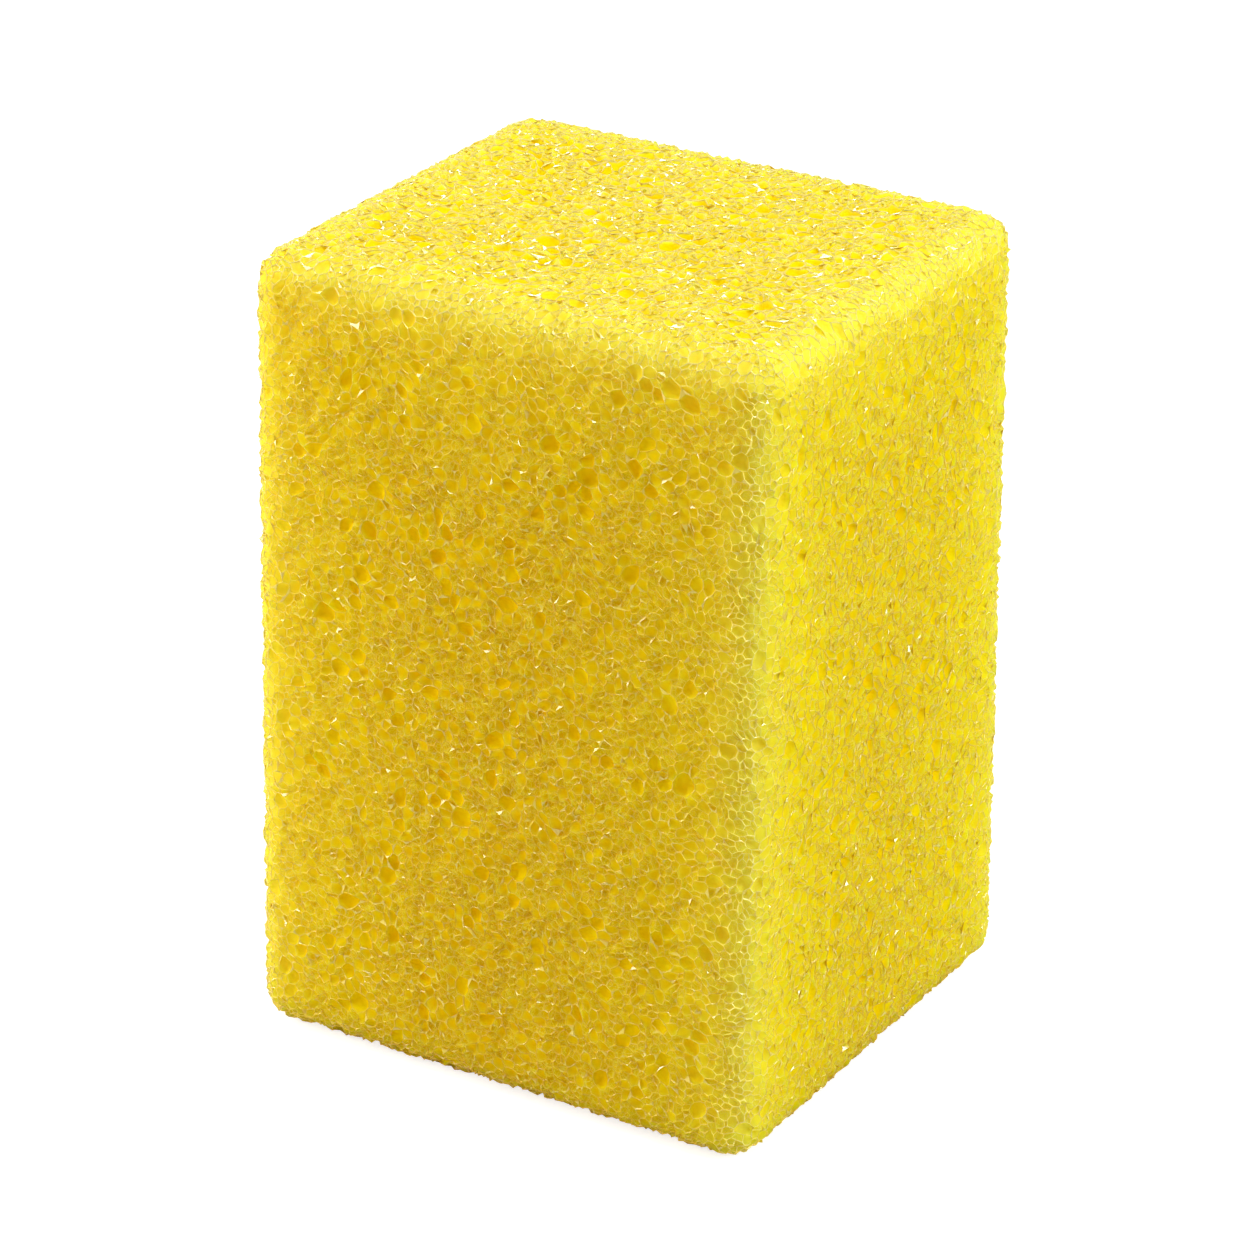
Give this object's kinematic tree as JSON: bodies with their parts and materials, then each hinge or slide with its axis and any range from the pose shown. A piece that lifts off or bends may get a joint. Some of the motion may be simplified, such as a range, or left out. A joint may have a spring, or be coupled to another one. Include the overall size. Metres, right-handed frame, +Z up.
{
  "type": "cleaning sponge",
  "caption": "Upright rectangular block of coarse yellow open-cell foam with softened edges and open pores on every face.",
  "frame": {"origin": "centre of the block's base, on the surface that it stands on", "axes": "+Z up along the block's longest side, +X across its broad face, +Y through its depth"},
  "size_m": [0.066, 0.0608, 0.095],
  "materials": {
    "foam": "matt open-cell foam"
  },
  "bodies": {
    "root": {"foam_block": "foam"}
  },
  "joints": []
}
